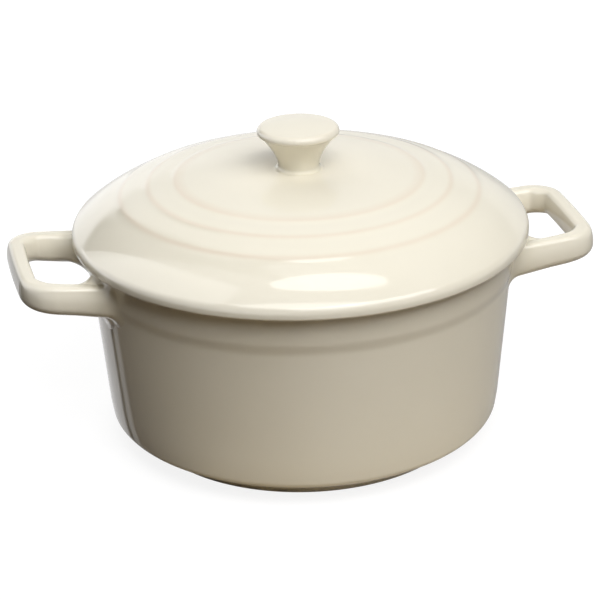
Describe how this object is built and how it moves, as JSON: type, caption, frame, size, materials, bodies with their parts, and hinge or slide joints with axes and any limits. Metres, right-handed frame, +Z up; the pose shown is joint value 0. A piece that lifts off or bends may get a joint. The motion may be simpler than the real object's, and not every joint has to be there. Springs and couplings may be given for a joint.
{
  "type": "baking pot",
  "caption": "Round stoneware casserole for oven baking, with loop handles, a raised collar, a foot and a stepped domed lid that lifts off by its knob.",
  "frame": {"origin": "centre of the foot ring's underside, where the pot stands", "axes": "+Z up through the knob, X from handle to handle, +X towards the right handle of the picture"},
  "size_m": [0.3069, 0.24, 0.1681],
  "materials": {
    "glaze": "gloss"
  },
  "bodies": {
    "pot": {"pot_body": "glaze", "left_handle": "glaze", "right_handle": "glaze"},
    "lid": {"lid": "glaze", "lid_knob": "glaze"}
  },
  "joints": [
    {"name": "lid_lift", "type": "slide", "parent": "pot", "child": "lid", "axis": [0, 0, 1], "range_m": [0, 0.15]}
  ]
}
